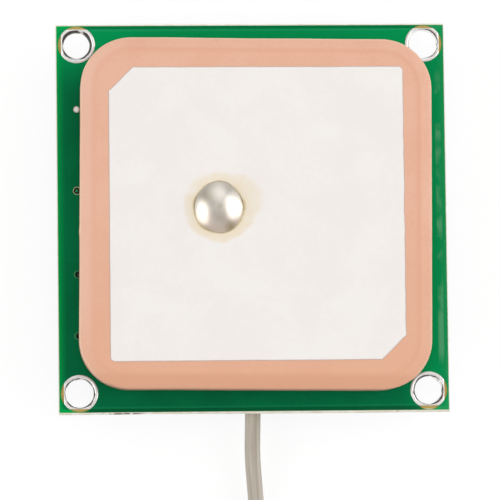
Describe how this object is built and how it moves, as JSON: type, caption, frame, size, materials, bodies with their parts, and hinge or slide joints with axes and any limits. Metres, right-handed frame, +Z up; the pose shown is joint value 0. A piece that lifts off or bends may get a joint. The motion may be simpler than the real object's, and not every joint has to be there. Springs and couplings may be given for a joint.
{
  "type": "gps antenna module",
  "caption": "Square ceramic patch antenna on a green amplifier board with corner screw holes, a screening can underneath and a thin coax pigtail ending in a push-on plug.",
  "frame": {"origin": "middle of the board's outline, on the plane of the can's flat face that the module lies on", "axes": "+Z up through the patch, -Y towards the edge that the cable leaves, +X to the right seen from above"},
  "size_m": [0.028, 0.0554, 0.0087],
  "materials": {
    "laminate": "sawn and snapped glass-epoxy edge",
    "copper": "rolled foil",
    "solder_mask": "glossy green film",
    "tin": "bright hot-dip tin",
    "patch_ceramic": "fine matt fired ceramic",
    "silver": "matt fired silver paste",
    "tape": "double-sided foam film",
    "brass": "drawn wire",
    "solder": "smooth bright solder",
    "flux": "thin yellowed film of flux around the feed's solder",
    "can_sheet": "tinned sheet",
    "white_ceramic": "matt alumina",
    "gold": "gold plate",
    "moulding": "black moulding compound",
    "capacitor_ceramic": "fired tan ceramic",
    "ferrite": "dark ferrite",
    "cable_insulation": "translucent white insulation",
    "cable_jacket": "smooth warm grey jacket",
    "tie_tape": "plain paper tape"
  },
  "bodies": {
    "root": {"board_core": "laminate", "top_copper": "copper", "bottom_copper": "copper", "top_mask": "solder_mask", "bottom_mask": "solder_mask", "corner_plating_1": "tin", "corner_plating_2": "tin", "corner_plating_3": "tin", "corner_plating_4": "tin", "via_1": "tin", "via_2": "tin", "via_3": "tin", "via_4": "tin", "ceramic_block": "patch_ceramic", "patch_electrode": "silver", "ground_electrode": "silver", "adhesive_tape": "tape", "feed_pin": "brass", "feed_solder": "solder", "feed_joint": "solder", "shield_can": "can_sheet", "can_solder": "solder", "filter_base": "white_ceramic", "filter_lid": "gold", "amplifier_1_body": "moulding", "amplifier_1_leads": "tin", "amplifier_2_body": "moulding", "amplifier_2_leads": "tin", "capacitor_1": "capacitor_ceramic", "capacitor_2": "capacitor_ceramic", "capacitor_3": "capacitor_ceramic", "capacitor_4": "capacitor_ceramic", "capacitor_5": "capacitor_ceramic", "capacitor_6": "capacitor_ceramic", "resistor_1": "moulding", "resistor_2": "moulding", "inductor_1": "ferrite", "inductor_2": "ferrite", "inductor_3": "ferrite", "cable_braid": "tin", "cable_insulation": "cable_insulation", "cable_core": "tin", "braid_solder": "solder", "core_solder": "solder", "cable_lead": "cable_jacket", "cable_coil": "cable_jacket", "cable_tail": "cable_jacket", "cable_tie": "tie_tape", "plug_shell": "gold", "plug_insulator": "cable_insulation", "plug_contact": "gold"}
  },
  "joints": []
}
